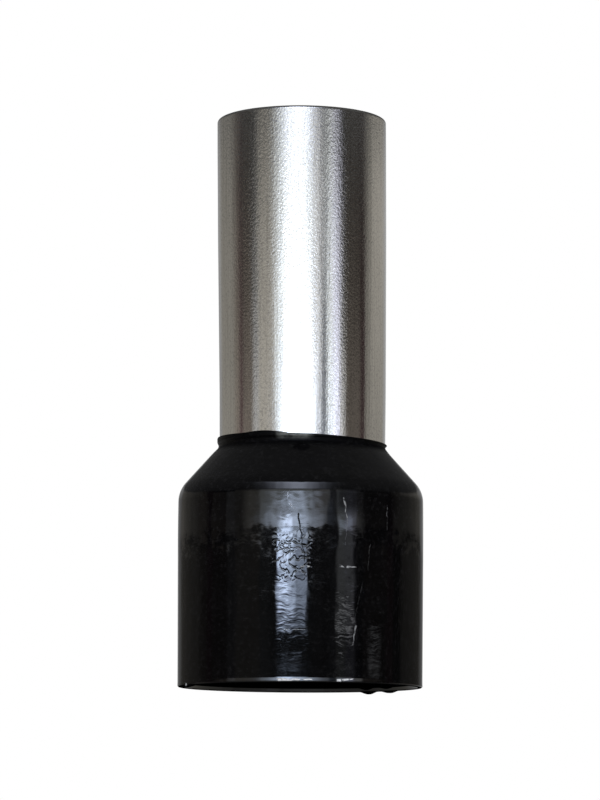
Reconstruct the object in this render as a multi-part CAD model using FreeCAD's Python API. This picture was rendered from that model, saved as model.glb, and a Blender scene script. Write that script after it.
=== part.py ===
import FreeCAD, Part
import math
import os

# Insulated wire ferrule for a stranded conductor of 25 square millimetres.
# It has two pieces: a tinned copper sleeve, flared at its rear end, and a moulded
# plastic collar in which that flare is seated.
# Lengths are in millimetres and angles in degrees. The origin is the centre of the
# collar's mouth, on the plane of its rim, and +Z runs to the sleeve's free end.

# Overall lengths
total_length = 28.0
bare_length = 16.0

# Sleeve
sleeve_outer_radius = 4.15
sleeve_wall = 0.35
sleeve_edge_round = 0.08
taper_above_lip = 0.30
seat_taper_angle = 3.0
flare_bend_radius = 0.40
flare_share = 0.45

# Collar, outside
mouth_radius = 6.0
wall_draft = 0.03
shoulder_round = 1.1
cone_angle = 41.8
cone_below_lip = 0.33
mouth_edge_round = 0.12

# Collar, neck and lip round the sleeve
neck_wall = 0.05
neck_fillet = 0.25
lip_wall = 0.10
lip_height = 0.22
lip_edge_round = 0.05

# Collar, inside
collar_wall = 0.40
funnel_round = 0.6
lead_in_width = 0.12
lead_in_height = 0.30

# Fit: the collar is pressed tight on the sleeve's tapered seat, with no clearance
seat_clearance = 0.0

# Worked out from the sizes above
lip_top = total_length - bare_length
sleeve_bore_radius = sleeve_outer_radius - sleeve_wall
shoulder_radius = mouth_radius + wall_draft
insulation_bore_radius = mouth_radius - collar_wall
flare_radius = sleeve_bore_radius + flare_share * (insulation_bore_radius - sleeve_bore_radius)
funnel_depth = collar_wall + sleeve_wall


def point(radius, height):
    return FreeCAD.Vector(radius, 0, height)


def slanted(foot, angle, depth):
    """A line through the foot at this angle to the axis, moved this far in towards the axis.

    A line is a point and a direction. A positive angle leans out towards the mouth.
    """
    lean = math.radians(angle)
    direction = point(math.sin(lean), -math.cos(lean))
    inward = point(-math.cos(lean), -math.sin(lean))
    return foot + inward * depth, direction


def cone(depth):
    """The line of the collar's cone, this deep below its outer face."""
    return slanted(point(sleeve_outer_radius, lip_top - cone_below_lip), cone_angle, depth)


def seat(depth):
    """The line of the tapered seat between sleeve and collar, this deep in the sleeve's wall."""
    taper_start = point(sleeve_outer_radius, lip_top + taper_above_lip)
    return slanted(taper_start, -seat_taper_angle, depth)


def upright(radius):
    """The line parallel to the axis at this radius."""
    return slanted(point(radius, 0), 0, 0)


def level(height):
    """The line square to the axis at this height."""
    return point(0, height), point(1, 0)


def crossing(first, second):
    """The point where two lines meet."""
    start, along = first
    other, across = second
    gap = other - start
    reach = (gap.x * across.z - gap.z * across.x) / (along.x * across.z - along.z * across.x)
    return start + along * reach


def rounded_outline(corners):
    """A closed wire through the corners, each given as a point and the radius of its round."""
    ends = []
    arcs = []
    for index, (corner, radius) in enumerate(corners):
        if radius == 0:
            ends.append((corner, corner))
            continue
        back = corners[index - 1][0] - corner
        ahead = corners[(index + 1) % len(corners)][0] - corner
        back.normalize()
        ahead.normalize()
        half_angle = back.getAngle(ahead) / 2
        setback = radius / math.tan(half_angle)
        inward = back + ahead
        inward.normalize()
        centre = corner + inward * (radius / math.sin(half_angle))
        start = corner + back * setback
        finish = corner + ahead * setback
        ends.append((start, finish))
        arcs.append(Part.Arc(start, centre - inward * radius, finish).toShape())
    sides = []
    for index, (start, _) in enumerate(ends):
        sides.append(Part.makeLine(ends[index - 1][1], start))
    return Part.Wire(Part.__sortEdges__(sides + arcs))


def turned(corners):
    """The solid that the outline sweeps in one turn round the Z axis."""
    face = Part.Face(rounded_outline(corners))
    return face.revolve(FreeCAD.Vector(0, 0, 0), FreeCAD.Vector(0, 0, 1), 360)


def flare_edge():
    """The flare's end face, from its corner on the bore's side to the one on the collar's side."""
    inner = crossing(upright(flare_radius), cone(funnel_depth))
    _, direction = cone(funnel_depth)
    outward = point(-direction.z, direction.x)
    return inner, inner + outward * sleeve_wall


def conductor_sleeve():
    """A drawn tube, straight to the free end, whose rear end tapers in and then flares out."""
    edge_inner, edge_outer = flare_edge()
    return turned([
        (point(sleeve_bore_radius, total_length), sleeve_edge_round),
        (crossing(upright(sleeve_bore_radius), seat(sleeve_wall)), 0),
        (crossing(seat(sleeve_wall), cone(funnel_depth)), flare_bend_radius + sleeve_wall),
        (edge_inner, 0),
        (edge_outer, 0),
        (crossing(seat(0), cone(collar_wall)), flare_bend_radius),
        (crossing(upright(sleeve_outer_radius), seat(0)), 0),
        (point(sleeve_outer_radius, total_length), sleeve_edge_round),
    ])


def insulating_collar():
    """One moulding: mouth, insulation socket, funnel with the flare's seat, cone, neck and lip."""
    edge_inner, edge_outer = flare_edge()
    collar_seat = seat(-seat_clearance)
    neck_top = crossing(seat(-neck_wall), level(lip_top - lip_height))
    lip_edge = crossing(seat(-lip_wall), level(lip_top))
    return turned([
        (point(insulation_bore_radius + lead_in_width, 0), 0),
        (point(mouth_radius, 0), mouth_edge_round),
        (crossing(upright(shoulder_radius), cone(0)), shoulder_round),
        (crossing(seat(-neck_wall), cone(0)), neck_fillet),
        (neck_top, 0),
        (lip_edge, lip_edge_round),
        (crossing(collar_seat, level(lip_top)), 0),
        (crossing(collar_seat, cone(collar_wall)), flare_bend_radius),
        (edge_outer, 0),
        (edge_inner, 0),
        (crossing(upright(insulation_bore_radius), cone(funnel_depth)), funnel_round),
        (point(insulation_bore_radius, lead_in_height), 0),
    ])


os.makedirs("parts", exist_ok=True)
conductor_sleeve().exportStep("parts/conductor_sleeve.step")
insulating_collar().exportStep("parts/insulating_collar.step")
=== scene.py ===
import math

import bpy
from mathutils import Matrix, Vector

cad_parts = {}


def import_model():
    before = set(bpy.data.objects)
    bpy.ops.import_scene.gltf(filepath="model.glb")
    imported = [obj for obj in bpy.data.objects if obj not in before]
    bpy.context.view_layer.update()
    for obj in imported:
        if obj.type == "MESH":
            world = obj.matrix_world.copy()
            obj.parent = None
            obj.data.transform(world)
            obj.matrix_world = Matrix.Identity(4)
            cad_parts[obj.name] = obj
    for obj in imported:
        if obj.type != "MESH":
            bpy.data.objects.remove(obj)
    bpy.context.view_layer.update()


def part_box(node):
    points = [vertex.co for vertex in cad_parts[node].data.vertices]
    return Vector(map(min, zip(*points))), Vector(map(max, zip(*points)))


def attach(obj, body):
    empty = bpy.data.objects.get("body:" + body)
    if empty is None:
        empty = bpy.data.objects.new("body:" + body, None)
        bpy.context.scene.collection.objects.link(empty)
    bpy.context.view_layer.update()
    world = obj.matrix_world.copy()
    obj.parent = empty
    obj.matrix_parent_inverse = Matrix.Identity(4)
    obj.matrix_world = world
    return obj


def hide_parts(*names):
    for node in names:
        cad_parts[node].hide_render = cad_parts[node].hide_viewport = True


# The looks of the insulated wire ferrule: a tinned sleeve in a black plastic collar.
# Sizes below are in millimetres and angles in degrees. MM turns a size into metres.

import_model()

MM = 0.001
FRONT = -90.0

# Both pieces are turned shapes: steps round the axis, the most between two rings of a straight run,
# the most degrees between two points of a round, and how near two points count as one
ROUND_STEPS = 360
RING_SPACING = 0.25
ARC_STEP = 6.0
SAME_PLACE = 1e-9

# Sleeve
FREE_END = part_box("conductor_sleeve")[1].z / MM
SLEEVE_WALL = 0.35
SLEEVE_RADIUS = 4.155
SLEEVE_RADIUS_AT_LIP = 4.043
OPENING_END = 24.3
BORE_END_ROUND = 0.06
END_ROUND = 0.14
FLARE_BEND = 0.40
FLARE_RADIUS = 4.61
OPENING_ROUND = 500.0

# The sleeve leans: its axis is this far to the right at its foot and to the left at its free end.
# It stands upright up to STRAIGHT_FOOT. Down inside the collar it comes back to the collar's axis.
SLEEVE_SHIFT_AT_FOOT = 0.07
SLEEVE_SHIFT_AT_END = -0.04
STRAIGHT_FOOT = 14.5
ON_AXIS_TO = 10.6
SHIFTED_FROM = 11.9

# Collar
RIM_HEIGHT = 0.12
MOUTH_RADIUS = 5.932
RIM_BEAD = 0.0069
RIM_ROUND = 0.08
BEAD_TOP = 0.36
BEAD_ROUND = 1.5
BELLY_RADIUS = 5.974
BELLY_HEIGHT = 7.72
BELLY_ROUND = 60.0
SHOULDER_RADIUS = 5.958
SHOULDER_HEIGHT = 9.65
SHOULDER_ROUND = 1.35
CONE_ANGLE = 41.87
CONE_TOP = 11.77
NECK_WALL = 0.032
NECK_ROUND = 0.2
NECK_TOP_ROUND = 0.06
LIP_FOOT = 11.88
LIP_WALL = 0.097
LIP_UNDERSIDE_RISE = 0.08
LIP_UNDERSIDE_ROUND = 0.05
LIP_TOP = 12.08
LIP_TOP_ROUND = 0.04
COLLAR_WALL = 0.40
SOCKET_RADIUS = 5.6
FUNNEL_ROUND = 0.6
LEAD_IN = 0.12
LEAD_IN_HEIGHT = 0.30

# The lip's top edge is higher on the left than on the right, with one torn crest, and is off centre
LIP_SLANT = 0.17
LIP_CREST = 0.09
LIP_CREST_AT = -26
LIP_CREST_HALF_WIDTH = 20
LIP_SHIFT = 0.05
LIP_SHIFT_FROM = 11.4

# The mouth's rim isn't quite level: places from the front in degrees, how far the rim hangs down
# there, and half the width of each in degrees. The last two are flash from the mould.
RIM_LEVELLING = 0.6
RIM_SAGS = ((-70, 0.10, 16), (143.8, 0.12, 5), (130, 0.09, 6))

# Depths of the tin's relief and of the plastic's, in millimetres
GRAIN_DEPTH = 0.0078
STREAK_DEPTH = 0.0016
WAVE_DEPTH = 0.002
CREASE_DEPTH = 0.0030
RIPPLE_DEPTH = 0.0030
SWAY_DEPTH = 0.013
SWELL_DEPTH = 0.006
BIG_CREASE_DEPTH = 0.008

# The tin's grain is half as deep near the collar as near the free end
GRAIN_FINE_TO = 14.0
GRAIN_COARSE_FROM = 24.0

# Camera, from the photograph's outline. NEAREST_SEEN is in metres.
CAMERA_AT = Vector((0.0, -178.0, -7.55)) * MM
CAMERA_TO = Vector((0.0, 0.0, 14.157)) * MM
CAMERA_SIDE = -0.061 * MM
CAMERA_ROLL = 0.265
LENS = 165.0
NEAREST_SEEN = 0.01


def line_at(radius, height, angle):
    """A line in the plane of a profile: a point, and a direction at this angle to the axis."""
    lean = math.radians(angle)
    return Vector((radius, height)), Vector((math.sin(lean), -math.cos(lean)))


def cone_line(depth):
    """The line of the collar's cone, this deep below its outer face."""
    start, along = line_at(SLEEVE_RADIUS_AT_LIP, CONE_TOP, CONE_ANGLE)
    return start + Vector((along.y, -along.x)) * depth, along


def crossing(first, second):
    """The point where two lines of a profile meet."""
    (start, along), (other, across) = first, second
    gap = other - start
    reach = (gap.x * across.y - gap.y * across.x) / (along.x * across.y - along.y * across.x)
    return start + along * reach


def rounded(corners):
    """The points and outward normals of a closed profile, from its corners and their rounds."""
    points = []
    for index, (corner, radius) in enumerate(corners):
        back = (corners[index - 1][0] - corner).normalized()
        ahead = (corners[(index + 1) % len(corners)][0] - corner).normalized()
        before = Vector((-back.y, back.x))
        after = Vector((ahead.y, -ahead.x))
        if radius == 0:
            points += [(corner, before), (corner, after)]
            continue
        half = back.angle(ahead) / 2
        inward = (back + ahead).normalized()
        centre = corner + inward * (radius / math.sin(half))
        turn = math.pi - 2 * half
        steps = max(3, math.ceil(math.degrees(turn) / ARC_STEP))
        side = 1 if before.dot(inward) < 0 else -1
        for step in range(steps + 1):
            normal = before.slerp(after, step / steps)
            points.append((centre + normal * (radius * side), normal))
    return points


def with_rings(points):
    """The same closed profile with its long straight runs cut into rings."""
    result = []
    for index, (place, normal) in enumerate(points):
        last, last_normal = points[index - 1]
        pieces = math.ceil((place - last).length / RING_SPACING)
        for step in range(1, pieces):
            share = step / pieces
            result.append((last.lerp(place, share), last_normal.lerp(normal, share)))
        result.append((place, normal))
    return result


def turned(name, profile, bend):
    """A mesh turned round the Z axis, with the profile's exact normals.

    bend gives the place of a point of the profile at an angle, so that a form can depart from round.
    """
    count = len(profile)
    vertices = []
    normals = []
    for step in range(ROUND_STEPS):
        turn = 2 * math.pi * step / ROUND_STEPS
        for place, normal in profile:
            radius, height, shift = bend(place.x, place.y, turn)
            x = radius * math.cos(turn) + shift
            vertices.append((x * MM, radius * math.sin(turn) * MM, height * MM))
            normals.append((normal.x * math.cos(turn), normal.x * math.sin(turn), normal.y))
    faces = []
    for step in range(ROUND_STEPS):
        here = step * count
        there = ((step + 1) % ROUND_STEPS) * count
        for index in range(count):
            after = (index + 1) % count
            if (profile[index][0] - profile[after][0]).length > SAME_PLACE:
                faces.append((here + index, there + index, there + after, here + after))
    mesh = bpy.data.meshes.new(name)
    mesh.from_pydata(vertices, [], faces)
    mesh.polygons.foreach_set("use_smooth", [True] * len(faces))
    mesh.normals_split_custom_set_from_vertices(normals)
    mesh.update()
    piece = bpy.data.objects.new(name, mesh)
    bpy.context.scene.collection.objects.link(piece)
    return piece


def from_front(turn):
    """An angle round the axis as degrees from the front, to the right."""
    return (math.degrees(turn) + 90 + 180) % 360 - 180


def soft_step(value, low, high):
    """0 up to low, 1 from high on, and a smooth step between. Low may be the greater of the two."""
    share = min(max((value - low) / (high - low), 0.0), 1.0)
    return share * share * (3 - 2 * share)


def window(value, low, high, edge):
    """1 inside low..high and 0 outside, with edges this soft."""
    return soft_step(value, low - edge, low + edge) * (1 - soft_step(value, high - edge, high + edge))


def hump(angle, centre, half_width):
    """A smooth hump by angle, 1 at the centre and 0 beyond its half width."""
    away = abs((angle - centre + 180) % 360 - 180) / half_width
    return 0.0 if away >= 1 else (1 - away * away) ** 2


def flare_edge():
    """The flare's end: its corner on the bore's side and the one on the collar's side."""
    inner = crossing(line_at(FLARE_RADIUS, 0, 0), cone_line(COLLAR_WALL + SLEEVE_WALL))
    along = cone_line(0)[1]
    return inner, inner - Vector((along.y, -along.x)) * SLEEVE_WALL


def sleeve_bend(radius, height, turn):
    """The sleeve leans a little to the left."""
    share = min(max((height - STRAIGHT_FOOT) / (FREE_END - STRAIGHT_FOOT), 0.0), 1.0)
    shift = SLEEVE_SHIFT_AT_FOOT + share * (SLEEVE_SHIFT_AT_END - SLEEVE_SHIFT_AT_FOOT)
    return radius, height, shift * soft_step(height, ON_AXIS_TO, SHIFTED_FROM)


def sleeve_piece():
    """The tinned tube: it opens slightly above the collar and is flared against the collar's cone."""
    slope = math.degrees(math.atan((SLEEVE_RADIUS_AT_LIP - SLEEVE_RADIUS) / (OPENING_END - LIP_TOP)))
    outside = line_at(SLEEVE_RADIUS_AT_LIP, LIP_TOP, slope)
    bore = line_at(SLEEVE_RADIUS_AT_LIP - SLEEVE_WALL, LIP_TOP, slope)
    flare_inner, flare_outer = flare_edge()
    profile = with_rings(rounded([
        (Vector((SLEEVE_RADIUS - SLEEVE_WALL, FREE_END)), BORE_END_ROUND),
        (Vector((SLEEVE_RADIUS - SLEEVE_WALL, OPENING_END)), OPENING_ROUND),
        (crossing(bore, cone_line(COLLAR_WALL + SLEEVE_WALL)), FLARE_BEND + SLEEVE_WALL),
        (flare_inner, 0),
        (flare_outer, 0),
        (crossing(outside, cone_line(COLLAR_WALL)), FLARE_BEND),
        (Vector((SLEEVE_RADIUS, OPENING_END)), OPENING_ROUND),
        (Vector((SLEEVE_RADIUS, FREE_END)), END_ROUND),
    ]))
    return turned("sleeve", profile, sleeve_bend)


def collar_bend(radius, height, turn):
    """The collar's lip is slanted and off centre, and its rim hangs down in places."""
    angle = from_front(turn)
    lip_share = min(max((height - LIP_FOOT) / (LIP_TOP - LIP_FOOT), 0.0), 1.0)
    rise = LIP_CREST * hump(angle, LIP_CREST_AT, LIP_CREST_HALF_WIDTH) - LIP_SLANT * math.cos(turn)
    rim_share = 1 - soft_step(height, RIM_HEIGHT, RIM_HEIGHT + RIM_LEVELLING)
    sag = sum(depth * hump(angle, place, half_width) for place, depth, half_width in RIM_SAGS)
    shift = LIP_SHIFT * soft_step(height, LIP_SHIFT_FROM, SHIFTED_FROM)
    return radius, height + rise * lip_share - sag * rim_share, shift


def collar_piece():
    """The moulded collar: mouth, socket, funnel, cone, neck and lip."""
    flare_inner, flare_outer = flare_edge()
    seat_radius = SLEEVE_RADIUS_AT_LIP
    neck = SLEEVE_RADIUS_AT_LIP + NECK_WALL
    lip = SLEEVE_RADIUS_AT_LIP + LIP_WALL
    belly = Vector((BELLY_RADIUS, BELLY_HEIGHT))
    upper_wall = (belly, Vector((SHOULDER_RADIUS, SHOULDER_HEIGHT)) - belly)
    profile = with_rings(rounded([
        (Vector((SOCKET_RADIUS + LEAD_IN, RIM_HEIGHT)), 0),
        (Vector((MOUTH_RADIUS + RIM_BEAD, RIM_HEIGHT)), RIM_ROUND),
        (Vector((MOUTH_RADIUS, BEAD_TOP)), BEAD_ROUND),
        (belly, BELLY_ROUND),
        (crossing(upper_wall, cone_line(0)), SHOULDER_ROUND),
        (crossing(line_at(neck, 0, 0), cone_line(0)), NECK_ROUND),
        (Vector((neck, LIP_FOOT)), NECK_TOP_ROUND),
        (Vector((lip, LIP_FOOT + LIP_UNDERSIDE_RISE)), LIP_UNDERSIDE_ROUND),
        (Vector((lip, LIP_TOP)), LIP_TOP_ROUND),
        (Vector((seat_radius, LIP_TOP)), 0),
        (crossing(line_at(seat_radius, 0, 0), cone_line(COLLAR_WALL)), FLARE_BEND),
        (flare_outer, 0),
        (flare_inner, 0),
        (crossing(line_at(SOCKET_RADIUS, 0, 0), cone_line(COLLAR_WALL + SLEEVE_WALL)), FUNNEL_ROUND),
        (Vector((SOCKET_RADIUS, LEAD_IN_HEIGHT)), 0),
    ]))
    return turned("collar", profile, collar_bend)


# A mark's width at its tip as a share of that at its start, where its sides fade as shares of its
# width, and how far beyond and within its length its ends fade, in millimetres
MARK_TAPER = 0.4
MARK_EDGE = (0.7, 0.2)
MARK_END = (0.04, 0.06)


class Nodes:
    """A small helper that adds nodes to a material or world and links them."""

    def __init__(self, owner):
        owner.use_nodes = True
        self.tree = owner.node_tree
        self.tree.nodes.clear()

    def add(self, kind, settings=None, **inputs):
        """A new node. Inputs are named with _ for spaces, or i and their number."""
        node = self.tree.nodes.new(kind)
        for key, value in (settings or {}).items():
            setattr(node, key, value)
        for key, value in inputs.items():
            numbered = key[0] == "i" and key[1:].isdigit()
            socket = node.inputs[int(key[1:]) if numbered else key.replace("_", " ")]
            if isinstance(value, bpy.types.NodeSocket):
                self.tree.links.new(value, socket)
            else:
                socket.default_value = value
        return node

    def math(self, operation, first, second=0.0):
        """The result of one sum or function of a value, or of two."""
        return self.add("ShaderNodeMath", {"operation": operation}, i0=first, i1=second).outputs[0]

    def ramp(self, value, low, high, to_low=0.0, to_high=1.0):
        """value from low..high turned smoothly into to_low..to_high."""
        return self.add(
            "ShaderNodeMapRange",
            {"interpolation_type": "SMOOTHSTEP"},
            Value=value, From_Min=low, From_Max=high, To_Min=to_low, To_Max=to_high,
        ).outputs[0]

    def noise(self, place, scale, detail=2.0, roughness=0.5, stretch=(1.0, 1.0, 1.0)):
        """Noise with about this many waves to the millimetre. A stretch under 1 draws it out."""
        mapped = self.add("ShaderNodeVectorMath", {"operation": "MULTIPLY"}, i0=place, i1=stretch)
        return self.add(
            "ShaderNodeTexNoise", {},
            Vector=mapped.outputs[0], Scale=scale, Detail=detail, Roughness=roughness,
        ).outputs["Fac"]

    def blend(self, share, first, second):
        """A colour between two others."""
        mix = self.add("ShaderNodeMix", {"data_type": "RGBA"}, Factor=share, i6=first, i7=second)
        return mix.outputs[2]

    def place(self):
        """The place on the object, in millimetres."""
        where = self.add("ShaderNodeTexCoord").outputs["Object"]
        return self.add("ShaderNodeVectorMath", {"operation": "SCALE"}, i0=where, Scale=1 / MM).outputs[0]

    def unrolled(self, place):
        """The place on the collar's wall as the distance round it from the front and the height."""
        apart = self.add("ShaderNodeSeparateXYZ", {}, Vector=place)
        back = self.math("MULTIPLY", apart.outputs["Y"], -1.0)
        angle = self.math("ARCTAN2", apart.outputs["X"], back)
        return self.math("MULTIPLY", angle, MOUTH_RADIUS), apart.outputs["Z"]

    def mark(self, round_wall, height, start, end, width):
        """1 along a thin mark on the collar's unrolled wall, which tapers towards its end."""
        along = Vector(end) - Vector(start)
        length = along.length
        along.normalize()
        across = self.math("SUBTRACT", round_wall, start[0])
        up = self.math("SUBTRACT", height, start[1])
        reach = self.math(
            "ADD", self.math("MULTIPLY", across, along.x), self.math("MULTIPLY", up, along.y),
        )
        off = self.math(
            "SUBTRACT", self.math("MULTIPLY", across, along.y), self.math("MULTIPLY", up, along.x),
        )
        taper = self.ramp(reach, 0.0, length, 1.0, MARK_TAPER)
        off = self.math("DIVIDE", self.math("ABSOLUTE", off), taper)
        line = self.ramp(off, width * MARK_EDGE[0], width * MARK_EDGE[1])
        foot = self.ramp(reach, -MARK_END[0], MARK_END[1])
        tip = self.ramp(reach, length + MARK_END[0], length - MARK_END[1])
        return self.math("MULTIPLY", line, self.math("MULTIPLY", foot, tip))


# Colours of the tin, in linear light, how much of each covers the others at most, and how far down
# from the free end the tin starts to turn darker and is darkest
TIN_DULL = (0.80, 0.79, 0.765, 1.0)
TIN_CLEAN = (0.85, 0.84, 0.82, 1.0)
TIN_STREAK = (0.62, 0.605, 0.58, 1.0)
TIN_FLECK = (0.48, 0.48, 0.49, 1.0)
TIN_DARK_END = (0.64, 0.63, 0.60, 1.0)
STREAK_SHARE = 0.45
FLECK_SHARE = 0.52
DARK_END_REACH = (0.20, 0.08)
TIN_ROUGHNESS = (0.045, 0.085)


def tin_material():
    """Tin plating on drawn copper: satin and grained, with faint streaks along the tube."""
    material = bpy.data.materials.new("tinned_copper")
    n = Nodes(material)
    place = n.place()
    along = n.add("ShaderNodeSeparateXYZ", {}, Vector=place).outputs["Z"]
    grain = n.noise(place, scale=12.0, detail=3.0, roughness=0.6, stretch=(1.0, 1.0, 0.7))
    streaks = n.noise(place, scale=8.0, detail=2.0, roughness=0.6, stretch=(1.0, 1.0, 0.03))
    waves = n.noise(place, scale=0.7, detail=1.0)
    grain_depth = n.ramp(along, GRAIN_FINE_TO, GRAIN_COARSE_FROM, GRAIN_DEPTH * 0.5, GRAIN_DEPTH)
    height = n.math("MULTIPLY", grain, grain_depth)
    height = n.math("ADD", height, n.math("MULTIPLY", streaks, STREAK_DEPTH))
    height = n.math("ADD", height, n.math("MULTIPLY", waves, WAVE_DEPTH))
    bump = n.add("ShaderNodeBump", {}, Height=height, Distance=MM, Strength=1.0)

    patches = n.ramp(n.noise(place, scale=0.8, stretch=(1.0, 1.0, 0.2)), 0.35, 0.65)
    tint = n.blend(patches, TIN_DULL, TIN_CLEAN)
    tint = n.blend(n.ramp(streaks, 0.52, 0.34, 0.0, STREAK_SHARE), tint, TIN_STREAK)
    flecks = n.noise(place, scale=10.0, roughness=0.6, stretch=(1.0, 1.0, 0.8))
    tint = n.blend(n.ramp(flecks, 0.52, 0.30, 0.0, FLECK_SHARE), tint, TIN_FLECK)
    # The tin is darker in a thin band at the free end
    dark_end = n.ramp(along, FREE_END - DARK_END_REACH[0], FREE_END - DARK_END_REACH[1])
    tint = n.blend(dark_end, tint, TIN_DARK_END)
    shader = n.add(
        "ShaderNodeBsdfPrincipled", {},
        Base_Color=tint, Metallic=1.0, Roughness=n.ramp(grain, 0.3, 0.7, *TIN_ROUGHNESS),
        Normal=bump.outputs[0],
    )
    n.add("ShaderNodeOutputMaterial", {}, Surface=shader.outputs[0])
    return material


# Marks on the collar's wall: distance round it from the front and height of both ends, in
# millimetres, width, and strength. The last three, low on the rim, are painted highlights; the others are
# scratches
SCRATCHES_AND_RIM_HIGHLIGHTS = (
    ((2.05, 8.85), (2.21, 7.76), 0.08, 0.32),
    ((2.21, 7.76), (2.16, 6.60), 0.05, 0.07),
    ((4.49, 8.60), (4.49, 7.40), 0.06, 0.08),
    ((3.47, 6.70), (3.33, 5.40), 0.05, 0.04),
    ((3.04, 4.90), (2.65, 3.00), 0.05, 0.025),
    ((2.70, 2.82), (2.54, 1.88), 0.08, 0.25),
    ((-0.62, 9.10), (-0.56, 8.72), 0.09, 0.10),
    ((-0.53, 8.60), (-0.16, 7.98), 0.09, 0.22),
    ((1.82, 5.60), (2.12, 5.56), 0.10, 0.45),
    ((2.24, 5.58), (2.68, 5.56), 0.10, 0.50),
    ((0.00, 5.56), (0.18, 5.57), 0.11, 0.55),
    ((0.24, 5.54), (0.44, 5.55), 0.11, 0.55),
    ((-0.79, 2.58), (0.25, 2.60), 0.06, 0.20),
    ((4.24, 5.02), (4.30, 4.96), 0.12, 0.10),
    ((-6.98, 0.16), (-6.75, 0.16), 0.20, 0.60),
    # These three rim marks are painted highlights, not scratches
    ((-1.10, 0.24), (0.60, 0.26), 0.12, 1.70),
    ((1.76, 0.22), (2.62, 0.32), 0.11, 1.80),
)
CREASE = ((-0.10, 8.05), (0.20, 5.80), 0.06)

# The wobble under the marks, in millimetres, how much of it goes upwards, and the noise at which a
# mark breaks off and is whole
WOBBLE = 0.22
WOBBLE_UP_SHARE = 0.4
MARK_BREAKS = (0.36, 0.56)

# The wrinkled skin, in millimetres on the wall. Each pair is where something sets in and where it is
# full, and each share is what is left of it elsewhere. The maze's creases lie where its noise is
# within MAZE_LINE of a half.
SKIN_WARP = (0.5, 0.5, 0.5)
MAZE_LINE = 0.10
MAZE_FOOT = (4.6, 5.4)
MAZE_TOP = (7.3, 6.8)
MAZE_CENTRE = -0.4
MAZE_SIDES = (1.0, 0.7)
MAZE_SIDES_SHARE = 0.03
RIPPLE_BELOW = (5.4, 4.2)
RIPPLE_ABOVE_SHARE = 0.25
RIPPLE_FOOT = (0.6, 3.0)
RIPPLE_FOOT_SHARE = 0.2
SWAY_FOOT = (0.8, 2.8)
SWAY_FOOT_SHARE = 0.25
SWELL_FOOT = (1.2, 3.2)
SWELL_FOOT_SHARE = 0.1

# The gate's mark on the neck: the height of its centre, half its width and half its height, and the
# square of the distance from its centre, in those halves, at which it sets in and is full
GATE_MARK_HEIGHT = 11.40
GATE_MARK_SIZE = (0.62, 0.24)
GATE_MARK_EDGE = (1.2, 0.5)

# The painted reflection of the sleeve's highlight along the lip: where it sets in and is full from its
# left, from its right and upwards
LIP_REFLECTION_LEFT = (-1.9, -1.2)
LIP_REFLECTION_RIGHT = (1.1, 0.3)
LIP_REFLECTION_UP = (11.75, 12.12)
LIP_REFLECTION_LEAST = 0.25

# What dulls the shine, with the place where each sets in and is full: the mould-rough neck, the rim's
# cut edge, and the upper wall right of the bright strip (inner) and at both sides (outer). Those two
# lie below ASIDE_TOP and within ASIDE_REACH of the front, and their shares say how strong they are.
NECK_FOOT = (11.3, 11.7)
NECK_END = (12.6, 12.3)
CUT_EDGE = (0.20, 0.13)
INNER_FROM = (1.45, 2.0)
INNER_FOOT = (7.7, 8.6)
INNER_SHARE = 1.18
OUTER_FROM = (2.4, 3.0)
OUTER_FOOT = (6.3, 7.0)
OUTER_SHARE = 1.12
ASIDE_REACH = (10.5, 7.5)
ASIDE_TOP = (9.6, 9.0)
PLASTIC_ROUGHNESS = (0.03, 0.05)
MARK_ROUGHNESS = 0.8
NECK_ROUGHNESS = 0.35
INNER_ROUGHNESS = 0.10
PLASTIC_SPECULAR = 0.5
DULL_LOSS = 0.42
ASIDE_LOSS = 0.65
NECK_LOSS = 0.85

# Colours of the plastic, in linear light
PLASTIC_DARK = (0.0008, 0.0008, 0.0011, 1.0)
PLASTIC_LIGHT = (0.0014, 0.0014, 0.0018, 1.0)
PLASTIC_DUSTY = (0.0055, 0.0055, 0.0062, 1.0)
# Pale colour of the scratches, which also paints the highlights on the rim
PLASTIC_SCUFF_AND_HIGHLIGHT = (0.62, 0.64, 0.68, 1.0)
# The colour of the painted reflection along the lip
PLASTIC_LIP_REFLECTION = (0.22, 0.235, 0.23, 1.0)


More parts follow.
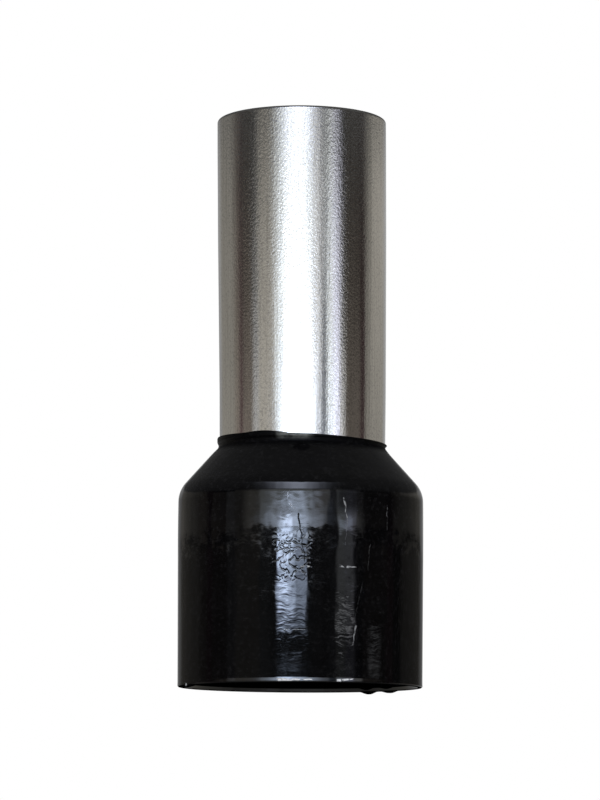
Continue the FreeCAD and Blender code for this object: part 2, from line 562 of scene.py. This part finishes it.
def skin_relief(n, place, round_wall, height):
    """The wrinkled skin: a maze of thin creases round the belly, level ripples below it, and waves."""
    warp = n.add("ShaderNodeTexNoise", {}, Vector=place, Scale=1.6, Detail=1.0).outputs["Color"]
    warped = n.add(
        "ShaderNodeVectorMath", {"operation": "MULTIPLY_ADD"}, i0=warp, i1=SKIN_WARP, i2=place,
    ).outputs[0]
    flow = n.noise(warped, scale=2.6, detail=1.0, roughness=0.4)
    maze = n.ramp(n.math("ABSOLUTE", n.math("SUBTRACT", flow, 0.5)), 0.0, MAZE_LINE)
    belly = n.math("MULTIPLY", n.ramp(height, *MAZE_FOOT), n.ramp(height, *MAZE_TOP))
    aside = n.math("ABSOLUTE", n.math("SUBTRACT", round_wall, MAZE_CENTRE))
    belly = n.math("MULTIPLY", belly, n.ramp(aside, *MAZE_SIDES, MAZE_SIDES_SHARE, 1.0))
    ripple = n.noise(warped, scale=2.6, stretch=(0.5, 0.5, 1.6))
    below = n.ramp(height, *RIPPLE_BELOW, RIPPLE_ABOVE_SHARE, 1.0)
    below = n.math("MULTIPLY", below, n.ramp(height, *RIPPLE_FOOT, RIPPLE_FOOT_SHARE, 1.0))
    sway = n.noise(place, scale=2.0, detail=1.0, roughness=0.4, stretch=(1.0, 1.0, 0.25))
    sway = n.math("MULTIPLY", sway, n.ramp(height, *SWAY_FOOT, SWAY_FOOT_SHARE, 1.0))
    swell = n.noise(place, scale=1.0, stretch=(1.0, 1.0, 0.8))
    swell = n.math("MULTIPLY", swell, n.ramp(height, *SWELL_FOOT, SWELL_FOOT_SHARE, 1.0))
    relief = n.math("MULTIPLY", n.math("MULTIPLY", maze, belly), CREASE_DEPTH)
    relief = n.math("ADD", relief, n.math("MULTIPLY", n.math("MULTIPLY", ripple, below), RIPPLE_DEPTH))
    relief = n.math("ADD", relief, n.math("MULTIPLY", sway, SWAY_DEPTH))
    return n.math("ADD", relief, n.math("MULTIPLY", swell, SWELL_DEPTH))


def wall_marks(n, place, round_wall, height):
    """The long crease, the scratches and the painted highlights on the rim, on a wall that wobbles so that
    none is quite straight.
    """
    wobble = n.math("SUBTRACT", n.noise(place, scale=2.5), 0.5)
    wobble = n.math("MULTIPLY", wobble, WOBBLE)
    mark_place = n.math("ADD", round_wall, wobble)
    mark_height = n.math("ADD", height, n.math("MULTIPLY", wobble, WOBBLE_UP_SHARE))
    crease = n.mark(mark_place, mark_height, *CREASE)
    scuff_and_highlight = 0.0
    for start, end, width, strength in SCRATCHES_AND_RIM_HIGHLIGHTS:
        line = n.math("MULTIPLY", n.mark(mark_place, mark_height, start, end, width), strength)
        scuff_and_highlight = n.math("ADD", line, scuff_and_highlight)
    scuff_and_highlight = n.math("MULTIPLY", scuff_and_highlight, n.ramp(n.noise(place, scale=7.0), *MARK_BREAKS))
    return crease, scuff_and_highlight


def gate_mark(n, round_wall, height):
    """The dull oval that the mould's gate left on the neck."""
    half_width, half_height = GATE_MARK_SIZE
    across = n.math("POWER", n.math("DIVIDE", round_wall, half_width), 2.0)
    above = n.math("DIVIDE", n.math("SUBTRACT", height, GATE_MARK_HEIGHT), half_height)
    return n.ramp(n.math("ADD", across, n.math("POWER", above, 2.0)), *GATE_MARK_EDGE)


def lip_reflection_patch(n, place, round_wall, height, gate):
    """A pale patch along the lip's crest: a painted reflection of the sleeve's highlight."""
    lip_reflection = n.math("MULTIPLY", n.ramp(round_wall, *LIP_REFLECTION_LEFT), n.ramp(round_wall, *LIP_REFLECTION_RIGHT))
    lip_reflection = n.math("MULTIPLY", lip_reflection, n.ramp(height, *LIP_REFLECTION_UP))
    reflection_breakup = n.noise(place, scale=2.2, detail=3.0, roughness=0.6)
    lip_reflection = n.math("MULTIPLY", lip_reflection, n.ramp(reflection_breakup, 0.35, 0.65, LIP_REFLECTION_LEAST, 1.0))
    return n.math("MULTIPLY", lip_reflection, n.math("SUBTRACT", 1.0, gate))


def plastic_colour(n, place, scuff_and_highlight, lip_reflection):
    """The plastic's colour: near black, a little dusty, pale where it is scuffed, with painted highlights
    on the rim and a painted reflection along the lip.
    """
    shades = n.ramp(n.noise(place, scale=1.2, detail=3.0), 0.35, 0.65)
    colour = n.blend(shades, PLASTIC_DARK, PLASTIC_LIGHT)
    dust = n.ramp(n.noise(place, scale=5.0, detail=3.0, roughness=0.6), 0.5, 0.75)
    colour = n.blend(dust, colour, PLASTIC_DUSTY)
    colour = n.blend(scuff_and_highlight, colour, PLASTIC_SCUFF_AND_HIGHLIGHT)
    return n.blend(lip_reflection, colour, PLASTIC_LIP_REFLECTION)


def less(n, value, loss, where):
    """The value, lowered by this share of itself where the mask is 1."""
    return n.math("MULTIPLY", value, n.math("SUBTRACT", 1.0, n.math("MULTIPLY", where, loss)))


def plastic_shine(n, place, round_wall, height, scuff_and_highlight, dull):
    """The plastic's roughness and specular level."""
    neck = n.math("MULTIPLY", n.ramp(height, *NECK_FOOT), n.ramp(height, *NECK_END))
    edge = n.ramp(height, *CUT_EDGE)
    away = n.math("ABSOLUTE", round_wall)
    inner = n.ramp(round_wall, *INNER_FROM, 0.0, INNER_SHARE)
    inner = n.math("MULTIPLY", inner, n.ramp(height, *INNER_FOOT))
    outer = n.ramp(away, *OUTER_FROM, 0.0, OUTER_SHARE)
    outer = n.math("MULTIPLY", outer, n.ramp(height, *OUTER_FOOT))
    aside = n.math("MULTIPLY", n.math("MAXIMUM", inner, outer), n.ramp(away, *ASIDE_REACH))
    aside = n.math("MULTIPLY", aside, n.ramp(height, *ASIDE_TOP))
    roughness = n.ramp(n.noise(place, scale=8.0), 0.3, 0.7, *PLASTIC_ROUGHNESS)
    roughness = n.math("ADD", roughness, n.math("MULTIPLY", scuff_and_highlight, MARK_ROUGHNESS))
    roughness = n.math("ADD", roughness, n.math("MULTIPLY", neck, NECK_ROUGHNESS))
    roughness = n.math("ADD", roughness, n.math("MULTIPLY", inner, INNER_ROUGHNESS))
    specular = n.math("SUBTRACT", PLASTIC_SPECULAR, n.math("MULTIPLY", dull, DULL_LOSS))
    specular = less(n, specular, ASIDE_LOSS, aside)
    specular = less(n, specular, NECK_LOSS, neck)
    specular = n.math("MULTIPLY", specular, n.math("SUBTRACT", 1.0, edge))
    return roughness, specular


def plastic_material():
    """Black moulded plastic with a glossy, wrinkled skin, scuffed at the front, with painted highlights on
    the rim and a painted reflection along the lip.
    """
    material = bpy.data.materials.new("black_plastic")
    n = Nodes(material)
    place = n.place()
    round_wall, height = n.unrolled(place)
    crease, scuff_and_highlight = wall_marks(n, place, round_wall, height)
    relief = skin_relief(n, place, round_wall, height)
    relief = n.math("SUBTRACT", relief, n.math("MULTIPLY", crease, BIG_CREASE_DEPTH))
    bump = n.add("ShaderNodeBump", {}, Height=relief, Distance=MM, Strength=1.0)
    gate = gate_mark(n, round_wall, height)
    lip_reflection = lip_reflection_patch(n, place, round_wall, height, gate)
    dull = n.math("MAXIMUM", gate, crease)
    roughness, specular = plastic_shine(n, place, round_wall, height, scuff_and_highlight, dull)
    shader = n.add(
        "ShaderNodeBsdfPrincipled", {},
        Base_Color=plastic_colour(n, place, scuff_and_highlight, lip_reflection), Roughness=roughness, IOR=1.5,
        Specular_IOR_Level=specular, Normal=bump.outputs[0],
    )
    n.add("ShaderNodeOutputMaterial", {}, Surface=shader.outputs[0])
    return material


# The studio round the object as its reflections see it, by direction. Azimuth 0 is behind the
# camera and grows to the picture's right, and elevation 0 is level. 1 is white.
RUSTY = Vector((1.10, 0.96, 0.84))
WINE = Vector((1.25, 0.82, 0.85))
WARM = Vector((1.02, 0.97, 0.87))
PLAIN = Vector((1.0, 1.0, 1.0))
COOL = Vector((0.92, 0.95, 1.0))
MINT = Vector((0.95, 1.0, 1.01))
LILAC = Vector((0.90, 0.91, 1.08))
BLUE = Vector((0.62, 0.75, 1.0))
PALE_BLUE = Vector((0.74, 0.81, 1.0))

# The wall's panels run from one azimuth to the next: where each one ends, how soft its end is, its
# brightness at the height that the collar mirrors and at the heights that the sleeve's foot and free
# end mirror, and its tint. Between those two heights it goes from the one to the other, and a
# brightness below 0 there counts as 0.
WALL_START = -180
WALL = (
    (-165, 4, 0.35, 0.30, 0.30, PLAIN),
    (-150, 6, 0.17, 0.22, 0.32, PLAIN),
    (-108, 6, 0.08, 0.30, 0.21, WARM),
    (-97, 1, 0.04, 0.29, 0.09, RUSTY),
    (-91, 1.5, 0.03, 0.10, 0.03, WINE),
    (-72, 2, 0.03, 0.28, 0.02, RUSTY),
    (-63, 2, 0.06, 0.78, 0.00, PLAIN),
    (-38, 3, 0.10, 0.54, 0.26, WARM),
    (-28, 3, 0.08, 1.20, 0.75, MINT),
    (12, 2, 0.05, 1.55, 1.12, MINT),
    (19, 2, 0.05, 1.20, 0.62, PLAIN),
    (26, 2, 0.04, 0.65, 0.75, PLAIN),
    (34, 2, 0.06, 0.12, 0.18, COOL),
    (42, 1.5, 0.13, 1.15, 0.85, MINT),
    (52, 2, 0.13, 1.60, 0.60, LILAC),
    (60, 2, 0.015, 1.50, -0.50, PLAIN),
    (87, 2, 0.03, 0.16, 0.02, RUSTY),
    (96, 2, 0.03, 0.06, 0.01, WINE),
    (108, 3, 0.015, 0.27, 0.16, WARM),
    (150, 6, 0.06, 0.20, 0.34, WARM),
    (165, 6, 0.16, 0.30, 0.36, PLAIN),
    (180, 4, 0.35, 0.60, 0.50, PLAIN),
)
SEAM_SOFTNESS = 6

# The elevations up to which the collar and the sleeve see the wall, how soft the first change is, how
# the brightness goes from foot to free end, and where the wall gives way to the dark ceiling
COLLAR_SEES_TO = 5.2
COLLAR_END_SOFTNESS = 0.15
SLEEVE_SEES_TO = 11.7
HEIGHT_POWER = 0.65
WALL_TOP = (12.5, 16)
CEILING = 0.085

# Below the horizon the wall is as the sleeve's middle sees it, and further down it turns even
BELOW_HORIZON = (-6, 0)
BELOW_HORIZON_RISE = 0.6
LOW_PART = (-15, -80)
LOW_LIGHT = 0.42

# The key strip, which the collar's belly mirrors: brightness of its bands with their azimuths from
# and to and the softness of those ends, and what its height does to it
KEY_BANDS = ((14.0, (-21.5, -6.0, 3.0)), (6.0, (-6.0, 5.5, 2.0)))
KEY_DIP = (0.45, (3.82, 4.06, 0.1))
KEY_TOP = (5.05, 5.25)
KEY_FADES = ((0.33, (2.45, 3.05)), (0.67, (3.2, 3.7)))

# Bright spots and the foot of the key strip, and the panels at its right: brightness, and azimuths
# and elevations from and to, each with the softness of its ends
KEY_SPOTS = (
    (10.0, (-22, -11, 2), (4.0, 4.9, 0.1)),
    (3.0, (3, 8, 1), (2.75, 3.4, 0.15)),
)
KEY_FOOT = (1.1, (-17, 8, 2), (2.4, 2.8, 0.12))
SIDE_PANELS = (
    (0.45, (33.5, 50, 2), (3.6, 5.1, 0.4)),
    (3.2, (33.5, 50, 2), (2.66, 2.98, 0.12)),
    (1.3, (67, 79, 3), (2.30, 2.52, 0.1)),
)

# The glow that the collar's upper wall mirrors: its bells with brightness, azimuth and spread, what is
# added in its lower part, and the elevations where it starts, where that part ends and where it ends
GLOW_BELLS = ((3.6, (-3, 13)), (3.0, (-9, 10)))
LOW_GLOW_BELL = (5.0, (-9, 14))
LOW_GLOW_WINDOWS = ((12.0, (-18, -8, 3)), (2.0, (35, 50, 2)))
GLOW_FOOT = (5.25, 5.5)
LOW_GLOW_TOP = (6.31, 6.48)
GLOW_TOP = (6.9, 7.6)

# The soft box that the shoulder mirrors. It is brighter towards its top.
BOX_LIGHT = 4.6
BOX_SIDEWAYS = (-4, 12)
BOX_RISE = (16, 43, 2.5)
BOX_AHEAD = (0.02, 0.07)
BOX_BRIGHT_TOP = (36, 42)
BOX_TOP_GAIN = 0.3

# In metres
STUDIO_RADIUS = 0.6


def bell(value, centre, spread):
    """A bell curve with 1 at its centre."""
    return math.exp(-0.5 * ((value - centre) / spread) ** 2)


def wall_light(azimuth, elevation):
    """The wall's light in this direction."""
    total = Vector((0, 0, 0))
    low, soft = WALL_START - 20, SEAM_SOFTNESS
    upper = soft_step(elevation, COLLAR_SEES_TO - COLLAR_END_SOFTNESS, COLLAR_SEES_TO + COLLAR_END_SOFTNESS)
    upper += 1 - soft_step(elevation, *BELOW_HORIZON)
    rise = min(max((elevation - COLLAR_SEES_TO) / (SLEEVE_SEES_TO - COLLAR_SEES_TO), 0.0), 1.0)
    rise = BELOW_HORIZON_RISE if elevation < 0 else rise ** HEIGHT_POWER
    for high, next_soft, at_collar, at_foot, at_end, tint in WALL:
        share = soft_step(azimuth, low - soft, low + soft)
        if high < 180:
            share -= soft_step(azimuth, high - next_soft, high + next_soft)
        at_tube = max(at_foot + rise * (at_end - at_foot), 0.0)
        level = at_collar + upper * (at_tube - at_collar)
        total += tint * (share * level)
        low, soft = high, next_soft
    below = soft_step(elevation, *LOW_PART)
    return total * (1 - below) + PLAIN * (LOW_LIGHT * below)


def panel_light(panel, azimuth, elevation):
    """The light of one panel in this direction."""
    level, azimuths, elevations = panel
    return level * window(azimuth, *azimuths) * window(elevation, *elevations)


def key_light(azimuth, elevation):
    """The key strip's light in this direction."""
    dip, dip_at = KEY_DIP
    light = sum(level * window(azimuth, *azimuths) for level, azimuths in KEY_BANDS)
    light *= 1 - dip * window(elevation, *dip_at)
    light += sum(panel_light(spot, azimuth, elevation) for spot in KEY_SPOTS)
    light *= 1 - soft_step(elevation, *KEY_TOP)
    light *= sum(share * soft_step(elevation, *fade) for share, fade in KEY_FADES)
    return light + panel_light(KEY_FOOT, azimuth, elevation)


def glow_light(azimuth, elevation):
    """The light of the wall's brighter part, just above what the belly mirrors."""
    level, place = LOW_GLOW_BELL
    low_glow = level * bell(azimuth, *place)
    low_glow += sum(level * window(azimuth, *place) for level, place in LOW_GLOW_WINDOWS)
    light = sum(level * bell(azimuth, *place) for level, place in GLOW_BELLS)
    light += low_glow * (1 - soft_step(elevation, *LOW_GLOW_TOP))
    return light * soft_step(elevation, *GLOW_FOOT) * (1 - soft_step(elevation, *GLOW_TOP))


def box_light(azimuth, elevation):
    """The soft box's light in this direction. It is in front of the object only."""
    turn, rise = math.radians(azimuth), math.radians(elevation)
    sideways = math.degrees(math.asin(math.cos(rise) * math.sin(turn)))
    ahead = math.cos(rise) * math.cos(turn)
    light = BOX_LIGHT * bell(sideways, *BOX_SIDEWAYS) * window(elevation, *BOX_RISE)
    light *= 1 + BOX_TOP_GAIN * soft_step(elevation, *BOX_BRIGHT_TOP)
    return light * soft_step(ahead, *BOX_AHEAD)


def studio_light(azimuth, elevation):
    """The light that the object sees in this direction."""
    above = soft_step(elevation, *WALL_TOP)
    light = wall_light(azimuth, elevation) * (1 - above) + PLAIN * (CEILING * above)
    light += BLUE * (key_light(azimuth, elevation) + glow_light(azimuth, elevation))
    light += COOL * sum(panel_light(panel, azimuth, elevation) for panel in SIDE_PANELS)
    return light + PALE_BLUE * box_light(azimuth, elevation)


def studio():
    """A tent of soft panels that only reflections see. Its light is stored on its vertices."""
    # The tent is finest just above the horizon, where the upright walls mirror it
    azimuths = [step * 1.0 for step in range(-180, 180)]
    elevations = [step * 2.0 for step in range(-44, 0)] + [step * 0.25 for step in range(0, 80)]
    elevations += [step * 1.0 for step in range(20, 90)]
    vertices = []
    lights = []
    for elevation in elevations:
        flat = math.cos(math.radians(elevation)) * STUDIO_RADIUS
        rise = math.sin(math.radians(elevation)) * STUDIO_RADIUS
        for azimuth in azimuths:
            turn = math.radians(azimuth + FRONT)
            vertices.append((flat * math.cos(turn), flat * math.sin(turn), rise))
            lights += [*studio_light(azimuth, elevation), 1.0]
    for end in (90, -90):
        vertices.append((0.0, 0.0, math.copysign(STUDIO_RADIUS, end)))
        lights += [*studio_light(0, end), 1.0]
    count = len(azimuths)
    faces = []
    for row in range(len(elevations) - 1):
        low, high = row * count, (row + 1) * count
        for step in range(count):
            after = (step + 1) % count
            faces.append((low + step, high + step, high + after, low + after))
    top = (len(elevations) - 1) * count
    for step in range(count):
        after = (step + 1) % count
        faces.append((top + step, len(vertices) - 2, top + after))
        faces.append((after, len(vertices) - 1, step))
    mesh = bpy.data.meshes.new("studio")
    mesh.from_pydata(vertices, [], faces)
    mesh.attributes.new("light", "FLOAT_COLOR", "POINT").data.foreach_set("color", lights)
    tent = bpy.data.objects.new("studio", mesh)
    bpy.context.scene.collection.objects.link(tent)
    material = bpy.data.materials.new("studio")
    n = Nodes(material)
    light = n.add("ShaderNodeAttribute", {"attribute_name": "light"}).outputs["Color"]
    glow = n.add("ShaderNodeEmission", {}, Color=light, Strength=1.0)
    n.add("ShaderNodeOutputMaterial", {}, Surface=glow.outputs[0])
    mesh.materials.append(material)
    tent.visible_camera = False
    tent.visible_diffuse = False
    tent.visible_transmission = False
    tent.visible_shadow = False
    return tent


# The floor, the lamps' distance and the world's light. These lengths are in metres.
FLOOR_RADIUS = 0.58
FLOOR_STEPS = 96
FLOOR_COLOUR = (0.82, 0.82, 0.82, 1.0)
LAMP_DISTANCE = 0.5
WORLD_FILL = 0.80
WHITE = (1.0, 1.0, 1.0, 1.0)


def floor():
    """A pale floor that keeps shadows and is seen from above only. Reflections see the studio instead."""
    mesh = bpy.data.meshes.new("floor")
    edge = []
    for step in range(FLOOR_STEPS):
        turn = 2 * math.pi * step / FLOOR_STEPS
        edge.append((FLOOR_RADIUS * math.cos(turn), FLOOR_RADIUS * math.sin(turn), 0.0))
    mesh.from_pydata(edge, [], [tuple(range(FLOOR_STEPS))])
    material = bpy.data.materials.new("floor")
    n = Nodes(material)
    below = n.add("ShaderNodeNewGeometry").outputs["Backfacing"]
    pale = n.add("ShaderNodeBsdfDiffuse", {}, Color=FLOOR_COLOUR)
    clear = n.add("ShaderNodeBsdfTransparent")
    mix = n.add("ShaderNodeMixShader", {}, Fac=below, i1=pale.outputs[0], i2=clear.outputs[0])
    n.add("ShaderNodeOutputMaterial", {}, Surface=mix.outputs[0])
    mesh.materials.append(material)
    plate = bpy.data.objects.new("floor", mesh)
    plate.visible_glossy = False
    bpy.context.scene.collection.objects.link(plate)
    return plate


def lamp(name, azimuth, elevation, size, power):
    """A soft square lamp aimed at the object, which reflections don't see."""
    data = bpy.data.lights.new(name, "AREA")
    data.size = size
    data.energy = power
    light = bpy.data.objects.new(name, data)
    turn = math.radians(azimuth + FRONT)
    rise = math.radians(elevation)
    away = Vector((math.cos(rise) * math.cos(turn), math.cos(rise) * math.sin(turn), math.sin(rise)))
    light.location = away * LAMP_DISTANCE
    light.rotation_euler = (-away).to_track_quat("-Z", "Y").to_euler()
    light.visible_glossy = False
    light.visible_camera = False
    bpy.context.scene.collection.objects.link(light)


def world():
    """A white background for the camera, reflections and clear parts, and a plain grey fill light."""
    scene_world = bpy.data.worlds.new("world")
    bpy.context.scene.world = scene_world
    n = Nodes(scene_world)
    path = n.add("ShaderNodeLightPath")
    seen = n.math("MAXIMUM", path.outputs["Is Camera Ray"], path.outputs["Is Glossy Ray"])
    seen = n.math("MAXIMUM", seen, path.outputs["Is Transmission Ray"])
    fill = n.add("ShaderNodeBackground", {}, Color=WHITE, Strength=WORLD_FILL)
    white = n.add("ShaderNodeBackground", {}, Color=WHITE, Strength=1.0)
    mix = n.add("ShaderNodeMixShader", {}, Fac=seen, i1=fill.outputs[0], i2=white.outputs[0])
    n.add("ShaderNodeOutputWorld", {}, Surface=mix.outputs[0])


def camera():
    """The photograph's viewing angle: from slightly below the object, so that both rims arch up."""
    data = bpy.data.cameras.new("camera")
    data.lens = LENS
    data.clip_start = NEAREST_SEEN
    view = bpy.data.objects.new("camera", data)
    aim = (CAMERA_TO - CAMERA_AT).to_track_quat("-Z", "Y").to_matrix().to_4x4()
    roll = Matrix.Rotation(math.radians(CAMERA_ROLL), 4, "Z")
    view.matrix_world = Matrix.Translation(CAMERA_AT + Vector((CAMERA_SIDE, 0, 0))) @ aim @ roll
    bpy.context.scene.collection.objects.link(view)
    bpy.context.scene.camera = view


camera()

sleeve = sleeve_piece()
sleeve.data.materials.append(tin_material())
collar = collar_piece()
collar.data.materials.append(plastic_material())
for piece, node, slot in (
    (sleeve, "conductor_sleeve", "tinned_copper"),
    (collar, "insulating_collar", "black_plastic"),
):
    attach(piece, "root")
    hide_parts(node)

floor()
studio()
lamp("key", -20, 45, 0.35, 0.8)
lamp("fill", 60, 40, 0.35, 0.3)
lamp("rear", 170, 50, 0.35, 0.4)
world()
bpy.context.scene.view_settings.view_transform = "Standard"
